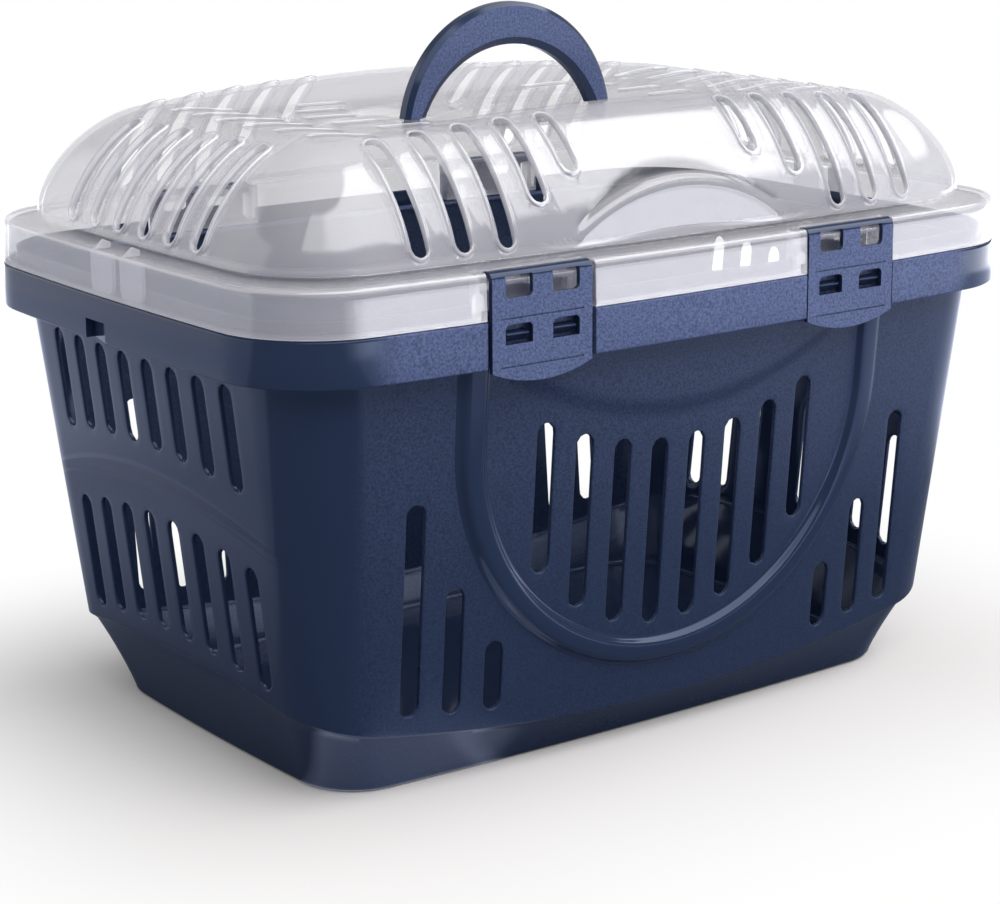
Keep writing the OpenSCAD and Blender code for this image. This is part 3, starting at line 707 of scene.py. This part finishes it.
def lid_painted_light_and_shade(p):
    """Share of extra veil: above 0 along slot edges, skirt edges and the dome's foot, a painted highlight where the
    moulding is thick or turns sharply; below 0 on the crescent shelf and the ledge, whose thinner veil is painted shade"""
    x, y, z = p.T
    near, _kind = slot_gap(x, y, z)
    slots = np.maximum(1 - np.abs(near - 2.15) / 0.4, 1 - np.abs(near - 0.05) / 0.35)
    rings = np.max([1 - smooth(np.abs(z - c) / w) for c, w in ((241.0, 1.2), (262.8, 1.2), (268.2, 1.6))], 0)
    rho, meet = np.hypot(x, z - ARCH_Z), np.interp(np.abs(x), arch_x, shelf_rho)
    shelf = smooth((rho - 111.15) / 0.35) * (1 - smooth((rho - meet - 0.3) / 0.8))
    shelf = shelf * (np.abs(y) > 118) * (np.abs(x) < 64)
    ledge = smooth((z - 264.1) / 0.3) * (1 - smooth((z - 266.3) / 0.5))
    return np.clip(np.maximum(slots, 0.5 * rings), 0, 1) - 0.5 * np.maximum(shelf, 0.8 * ledge)


lid_rim = [[(2.6, 0, 0), (2.3, 0, 0.15), (2.05, 0, 0.9), (1.8, 0, 1.15), (0.4, 0, 1.15), (0.12, 0, 1.0), (0, 0, 0.7),
            (0, 1, 0.4), (0.3, 1, 0), (2.6, 1, 0)],
           [(2.6, 0, 0), (2.45, 0, -0.02), (2.3, 0, -0.05), (2.1, 0, -0.1), (1.95, 0, -0.2), (1.85, 0, -0.35),
            (1.8, 0, -0.6), (1.8, 1, 0.6), (1.95, 1, 0.2), (2.6, 1, 0)]]
lid_shell = shell("lid_shell", lid_sheet, lid_field, columns(54, 16, 34, MARKS), np.arange(len(lid_rings)), lid_rim,
                  (False, True), lid_painted_light_and_shade)

# %% [markdown]
# ## What the lid carries
# In each clip recess a clear bar runs from cheek to cheek; the clip turns on it. Inside each end of the skirt hang two
# flat tongues with a fin over the ledge, which guide the lid onto the tub.

# %% Hinge bars and tongues
def bars(name, places, length, radius):
    """Round bars along X that flare into the cheeks: a circle carried along x, its radius growing at both ends"""
    along = np.array([-1, -0.995, -0.985, -0.96, -0.93, 0.93, 0.96, 0.985, 0.995, 1]) * length / 2
    grow = 1 + 0.5 * np.exp(-(length / 2 - np.abs(along)) / 0.7)
    turn = np.linspace(0, 2 * np.pi, 33)[:-1]
    verts, quads, tris, start = [], [], [], 0
    for x, y, z in places:
        ring = np.stack([np.zeros(32), np.cos(turn) * radius, np.sin(turn) * radius], 1)
        p = ring[None] * grow[:, None, None] + np.array([x, y, z]) + along[:, None, None] * np.array([1, 0, 0])
        verts.append(p.reshape(-1, 3))
        quads.append(grid_quads(len(along), 32, start)[:, ::-1])
        fan = np.stack([np.zeros(30, int), np.arange(1, 31), np.arange(2, 32)], 1)
        tris += [fan + start + 32 * (len(along) - 1), fan[:, ::-1] + start]
        start += 32 * len(along)
    return make_mesh(name, np.concatenate(verts), np.concatenate(quads), np.concatenate(tris))


BAR_Y, BAR_Z, BAR_R = 158.5, 259.4, 2.5
hinge_bars = bars("hinge_bars", [(x, s * BAR_Y, BAR_Z) for x in (-CLIP_X, CLIP_X) for s in (-1, 1)], 2 * POCKET,
                  BAR_R)

TONGUE_HALF, TONGUE_R, TONGUE_LOW, TONGUE_TOP = 11.2, 6, 241.3, 262.9
tongues = []
for turn in (1, -1):
    for y in (-21.5, 8.5):
        arc = [(TONGUE_R * math.cos(a), TONGUE_R * math.sin(a)) for a in smoothly(180, 270, 6)]
        side, middle = TONGUE_HALF - TONGUE_R, TONGUE_LOW + TONGUE_R
        shape = [(y - side + a, middle + b) for a, b in arc] + [(y + side - a, middle + b) for a, b in arc[::-1]]
        shape += [(y + TONGUE_HALF, TONGUE_TOP), (y - TONGUE_HALF, TONGUE_TOP)]
        tongues.append(([(-242.1 * turn, py * turn, pz) for py, pz in shape], (2.2 * turn, 0, 0)))
        fin = [(-243.5, 263.6), (-234, 263.6), (-234, 266.4), (-238, 268.2)]
        tongues.append(([(px * turn, (y + 4) * turn, pz) for px, pz in fin], (0, 2 * turn, 0)))
end_tongues = prisms("end_tongues", tongues, 0.3, 0.25)

# %% [markdown]
# ## Handle and clips
# Their CAD shapes are right but razor-edged. A copy of each is merged and its flat faces joined, and a bevel rounds
# the edges by a few tenths of a millimetre, which is what catches a line of light on a real moulding.

# %% Handle and clips
def softened(name, node, width):
    """Copy of a CAD node with merged points, joined flat faces and rounded edges"""
    obj = frame["nodes"][node].copy()
    obj.data = frame["nodes"][node].data.copy()
    obj.name = obj.data.name = name
    obj.parent = None
    obj.matrix_world = Matrix.Identity(4)
    for key in list(obj.keys()):
        del obj[key]
    bpy.context.scene.collection.objects.link(obj)
    work = bmesh.new()
    work.from_mesh(obj.data)
    bmesh.ops.remove_doubles(work, verts=work.verts, dist=2e-5)
    bmesh.ops.dissolve_limit(work, angle_limit=math.radians(0.6), verts=work.verts, edges=work.edges)
    work.to_mesh(obj.data)
    work.free()
    obj.data.polygons.foreach_set("use_smooth", np.ones(len(obj.data.polygons), bool))
    obj.data.set_sharp_from_angle(angle=math.radians(30))
    normals = np.zeros(3 * len(obj.data.polygons), np.float32)
    obj.data.polygons.foreach_get("normal", normals)
    flat = obj.data.attributes.new("grain", "FLOAT", "FACE")
    flat.data.foreach_set("value", (np.abs(normals.reshape(-1, 3)[:, 1]) > 0.95).astype(np.float32))
    bevel = obj.modifiers.new("soft edges", "BEVEL")
    bevel.width, bevel.segments, bevel.limit_method, bevel.angle_limit = width * MM, 3, "ANGLE", math.radians(25)
    bevel.harden_normals = True
    print(name, len(obj.data.vertices), "points")
    return obj


carry_handle = softened("carry_handle", "handle", 0.5)
clips = {node: softened("snap_" + node, node, 0.35)
         for node in ("front_clip_left", "front_clip_right", "rear_clip_left", "rear_clip_right")}

# %% What rides on what
for piece in (tub_shell, rim_band, rim_upstand, bead_front, bead_rear, catch_teeth):
    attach(piece, "tub")
for piece in (lid_shell, hinge_bars, end_tongues):
    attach(piece, "lid")
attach(carry_handle, "lid")
for node, piece in clips.items():
    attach(piece, node if node.startswith("front") else "tub")
    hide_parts(node)
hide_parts("tub")
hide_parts("lid")
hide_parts("handle")

# %% [markdown]
# ## Finishes
# Three finishes make this object. The tub is navy plastic, spark-eroded to a fine grain on its long walls and polished
# elsewhere; the `grain` attribute of the mesh says where, and it also carries painted shade at the tub's foot and, on
# the lid, painted highlights and painted shade. Band, clips and handle are the same plastic in a lighter look: partly
# the scatter of their grain, partly painted light for the brighter light on these upright faces. The lid is clear
# plastic
# with a milky veil: part of the light goes through, part is scattered, so what stands behind looks pale.

# %% Node helpers
class Graph:
    """An empty node tree and short ways to add and link nodes; a value is a number, a colour or a node's output"""

    def __init__(self, tree):
        self.tree = tree
        tree.nodes.clear()

    def add(self, kind, inputs=(), **settings):
        """New node with its settings; inputs is a dict from socket to value"""
        node = self.tree.nodes.new("ShaderNode" + kind)
        for key, value in settings.items():
            setattr(node, key, value)
        for socket, value in dict(inputs).items():
            if hasattr(value, "links"):
                self.tree.links.new(value, node.inputs[socket])
            else:
                node.inputs[socket].default_value = value
        return node

    def math(self, kind, *values):
        return self.add("Math", dict(enumerate(values)), operation=kind).outputs[0]

    def mix(self, kind, share, a, b):
        """a where the share is 0, b where it is 1"""
        first, output = {"FLOAT": (2, 0), "RGBA": (6, 2)}[kind]
        return self.add("Mix", {0: share, first: a, first + 1: b}, data_type=kind).outputs[output]

    def spread(self, value, low, high, start=0, end=1, **settings):
        """The range from low to high carried over to the range from start to end"""
        ends = {"Value": value, "From Min": low, "From Max": high, "To Min": start, "To Max": end}
        return self.add("MapRange", ends, **settings).outputs[0]

    def between(self, value, low, high, soft):
        """1 where a value lies between low and high, falling to 0 over twice the soft width"""
        away = self.math("ABSOLUTE", self.math("SUBTRACT", value, (low + high) / 2))
        return self.spread(away, (high - low) / 2 - soft, (high - low) / 2 + soft, 1, 0)

    def weighted(self, *terms):
        """Sum of weight times all factors, for terms (weight, factor, factor, ...)"""
        total = 0.0
        for part, *factors in terms:
            for factor in factors:
                part = self.math("MULTIPLY", factor, part)
            total = self.math("ADD", part, total)
        return total

    def angles(self, vector):
        """Azimuth (from -Y towards -X) and elevation in radians, and distance from the Z axis, of a place or direction
        """
        x, y, z = self.add("SeparateXYZ", {0: vector}).outputs
        az = self.math("ARCTAN2", self.math("MULTIPLY", x, -1), self.math("MULTIPLY", y, -1))
        flat = self.math("SQRT", self.math("ADD", self.math("MULTIPLY", x, x), self.math("MULTIPLY", y, y)))
        return az, self.math("ARCTAN2", z, flat), flat


def finish_of(name):
    mat = bpy.data.materials.new(name)
    mat.use_nodes = True
    return mat, Graph(mat.node_tree)


# %% Navy plastic
def times(colour, share):
    return tuple(share * c for c in colour[:3]) + (1,)


def navy_plastic(name, smooth_colour, grain_colour, gloss=0.1, grain_rough=0.45):
    """Navy plastic: grain turns the colour lighter, speckled and rougher and adds the fine bump"""
    mat, g = finish_of(name)
    place = g.add("TexCoord").outputs["Object"]
    grain = g.add("TexNoise", {"Vector": place, "Scale": 800, "Detail": 2}).outputs["Fac"]
    cloud = g.add("TexNoise", {"Vector": place, "Scale": 14, "Detail": 3}).outputs["Fac"]
    part = g.add("Attribute", attribute_name="grain").outputs["Fac"]
    speckle = g.mix("RGBA", g.spread(grain, 0.35, 0.65), times(grain_colour, 0.62), times(grain_colour, 1.38))
    shade = g.mix("RGBA", cloud, times(smooth_colour, 0.92), smooth_colour)
    rough = g.mix("FLOAT", part, g.mix("FLOAT", cloud, gloss * 0.8, gloss * 1.2), grain_rough)
    bump = g.add("Bump", {"Distance": 0.00012, "Strength": g.mix("FLOAT", part, 0.02, 0.5), "Height": grain})
    body = g.add("BsdfPrincipled", {"Base Color": g.mix("RGBA", part, shade, speckle), "Roughness": rough, "IOR": 1.5,
                                    "Specular Tint": (0.62, 0.73, 1.0, 1), "Normal": bump.outputs["Normal"]})
    g.add("OutputMaterial", {"Surface": body.outputs[0]})
    return mat


# the grain colour of band, clips and handle is much lighter than the tub's: partly the scatter of their grain, partly
# painted light for the brighter light on these upright faces
NAVY, NAVY_GRAIN, BLUE_GRAIN_WITH_PAINTED_LIGHT = (0.02, 0.034, 0.079, 1), (0.025, 0.039, 0.088, 1), (0.088, 0.115, 0.235, 1)
tub_finish = navy_plastic("tub_navy_plastic", NAVY, NAVY_GRAIN)
band_finish = navy_plastic("band_grained_plastic", NAVY, BLUE_GRAIN_WITH_PAINTED_LIGHT)
clip_finish = navy_plastic("clip_grained_plastic", NAVY, BLUE_GRAIN_WITH_PAINTED_LIGHT)
handle_finish = navy_plastic("handle_grained_plastic", NAVY, BLUE_GRAIN_WITH_PAINTED_LIGHT)

# %% Clear plastic
def clear_plastic(name, through):
    """Clear plastic with a milky veil and a hard gloss; through is the share of light that each surface lets pass"""
    mat, g = finish_of(name)
    place = g.add("TexCoord").outputs["Object"]
    cloud = g.add("TexNoise", {"Vector": place, "Scale": 9, "Detail": 4}).outputs["Fac"]
    # the grain attribute sets the veil's alpha: more veil along the lid's edges as painted highlights, less on its
    # shelf and ledge as painted shade
    share = g.add("Attribute", attribute_name="grain").outputs["Fac"]
    body = g.add("BsdfPrincipled", {"Base Color": (0.93, 0.91, 0.97, 1), "Roughness": g.spread(cloud, 0, 1, 0.02, 0.07),
                                    "Alpha": g.spread(share, 0, 1, 1 - through, 0.8, clamp=False), "IOR": 1.49,
                                    "Specular IOR Level": 1.0, "Coat Weight": 1.0, "Coat Roughness": 0.02,
                                    "Coat IOR": 2.1})
    g.add("OutputMaterial", {"Surface": body.outputs[0]})
    return mat


lid_finish = clear_plastic("lid_clear_plastic", 0.69)
for pieces, finish in (((tub_shell, rim_upstand, bead_front, bead_rear, catch_teeth), tub_finish),
                       ((rim_band,), band_finish), ((lid_shell, hinge_bars, end_tongues), lid_finish),
                       ((carry_handle,), handle_finish), (tuple(clips.values()), clip_finish)):
    for piece in pieces:
        piece.data.materials.clear()
        piece.data.materials.append(finish)

# %% [markdown]
# ## Camera, lights and floor
# The picture was taken in a white studio. One wide soft box hangs in front of the object and above it; the room is dim
# below the box, and the floor shines white to the sides and far away. The dark floor towards the camera makes the
# corner that faces it the darkest place. The world does the same with its direction and the floor with its place.
# Rays from the camera see plain white instead, with the object's shadow on the floor.

# %% Camera
def look(az, el, roll, target, dist, lens):
    """Camera at azimuth az (0 looks along +Y) and elevation el, in degrees, from a target point in millimetres"""
    a, e, r = map(math.radians, (az, el, roll))
    back = Vector((math.sin(a) * math.cos(e), -math.cos(a) * math.cos(e), math.sin(e)))
    right = (-back).cross(Vector((0, 0, 1))).normalized()
    up = right.cross(-back)
    m = Matrix((math.cos(r) * right + math.sin(r) * up, -math.sin(r) * right + math.cos(r) * up, back))
    m = m.transposed().to_4x4()
    m.translation = (Vector(target) + back * dist) * MM
    data = bpy.data.cameras.new("camera")
    data.lens, data.sensor_width = lens, 36
    data.clip_start, data.clip_end = 0.05, 30
    cam = bpy.data.objects.new("camera", data)
    cam.matrix_world = m
    bpy.context.scene.collection.objects.link(cam)
    return cam


bpy.context.scene.camera = look(-36.29, 14.44, -0.33, (-60.99, -75.4, 150), 1335.82, 93.09)
bpy.context.scene.view_settings.view_transform = "Standard"

# %% World
WHITE = (1, 1, 1, 1)


def degrees_between(graph, angle, low, high, soft):
    return graph.between(angle, *map(math.radians, (low, high, soft)))


def seen_directly(graph, path):
    """1 for rays that come from the camera, straight or through clear material"""
    return graph.math("MAXIMUM", path["Is Camera Ray"], path["Is Transmission Ray"])


world = bpy.data.worlds.new("studio")
world.use_nodes = True
bpy.context.scene.world = world
g = Graph(world.node_tree)
az, el, _flat = g.angles(g.add("TexCoord").outputs["Generated"])
path = g.add("LightPath").outputs
box = [degrees_between(g, az, -100, 57, 2), degrees_between(g, el, 31, 68, 2)]
box_left = degrees_between(g, az, 22, 100, 8)
low_room = degrees_between(g, el, -60, 30, 6)
low_front = degrees_between(g, az, -100, 150, 12)
behind = [degrees_between(g, az, 100, 172, 4), degrees_between(g, el, -12, 31, 3)]
level = g.weighted((0.25,), (0.8, *behind), (3.1, *box), (-1.4, *box, box_left), (0.15, low_room),
                   (-0.15, low_room, low_front))
room = g.add("Background", {"Color": WHITE, "Strength": level})
white = g.add("Background", {"Color": WHITE, "Strength": 1.0})
both = g.add("MixShader", {"Fac": seen_directly(g, path), 1: room.outputs[0], 2: white.outputs[0]})
g.add("OutputWorld", {"Surface": both.outputs[0]})

# %% Floor
HALF = 3000
corners = np.array([(-HALF, -HALF, -0.3), (HALF, -HALF, -0.3), (HALF, HALF, -0.3), (-HALF, HALF, -0.3)])
floor = make_mesh("studio_floor", corners, np.array([[0, 1, 2, 3]]))
mat, g = finish_of("studio_floor")
place = g.add("TexCoord").outputs["Object"]
path = g.add("LightPath").outputs
# for the camera: matte near the object, where its shadow falls, and plain white further out; the matte is darker and
# warmer than that white, a painted shade round the foot on top of the real shadow
beside_foot = g.add("VectorMath", {0: g.add("VectorMath", {0: place}, operation="ABSOLUTE").outputs[0],
                                   1: (0.165, 0.09, 0.01)}, operation="SUBTRACT").outputs[0]
outside = g.add("VectorMath", {0: beside_foot}, operation="MAXIMUM").outputs[0]
far = g.add("VectorMath", {0: outside}, operation="LENGTH").outputs["Value"]
matte = g.add("BsdfDiffuse", {"Color": (0.85, 0.82, 0.81, 1)}).outputs[0]
shown = g.add("MixShader", {"Fac": g.spread(far, -0.02, 0.26, interpolation_type="SMOOTHSTEP"), 1: matte,
                            2: g.add("Emission").outputs[0]})
# for the object: dull near it and shining where the photograph's reflections are light
az, _el, flat = g.angles(place)
away, near, beyond = [g.between(flat, *zone) for zone in ((0.6, 9.0, 0.08), (0.34, 0.6, 0.1), (1.4, 9.0, 0.1))]
towards, beside, right = [degrees_between(g, az, *zone) for zone in ((2, 95, 2), (95, 180, 2), (-178, 2, 12))]
patch = [degrees_between(g, az, 24, 42, 1), g.between(flat, 0.15, 0.24, 0.004)]
corner = [degrees_between(g, az, 39, 66, 2), g.between(flat, 0.0, 0.25, 0.005)]
level = g.weighted((0.7, away), (-0.6, away, towards), (0.3, away, right), (2.5, beyond, right), (0.32, near, beside),
                   (-0.12, away, beside), (0.6, *patch, path["Is Glossy Ray"]), (0.8, *corner, path["Is Glossy Ray"]))
hue = g.mix("RGBA", beyond, (0.74, 0.79, 1.0, 1), (0.96, 0.96, 1.0, 1))
glow = g.add("Emission", {"Color": hue, "Strength": level})
dull = g.add("BsdfDiffuse", {"Color": (0.24, 0.27, 0.33, 1)})
lit = g.add("AddShader", {0: dull.outputs[0], 1: glow.outputs[0]})
both = g.add("MixShader", {"Fac": seen_directly(g, path), 1: lit.outputs[0], 2: shown.outputs[0]})
g.add("OutputMaterial", {"Surface": both.outputs[0]})
floor.data.materials.append(mat)
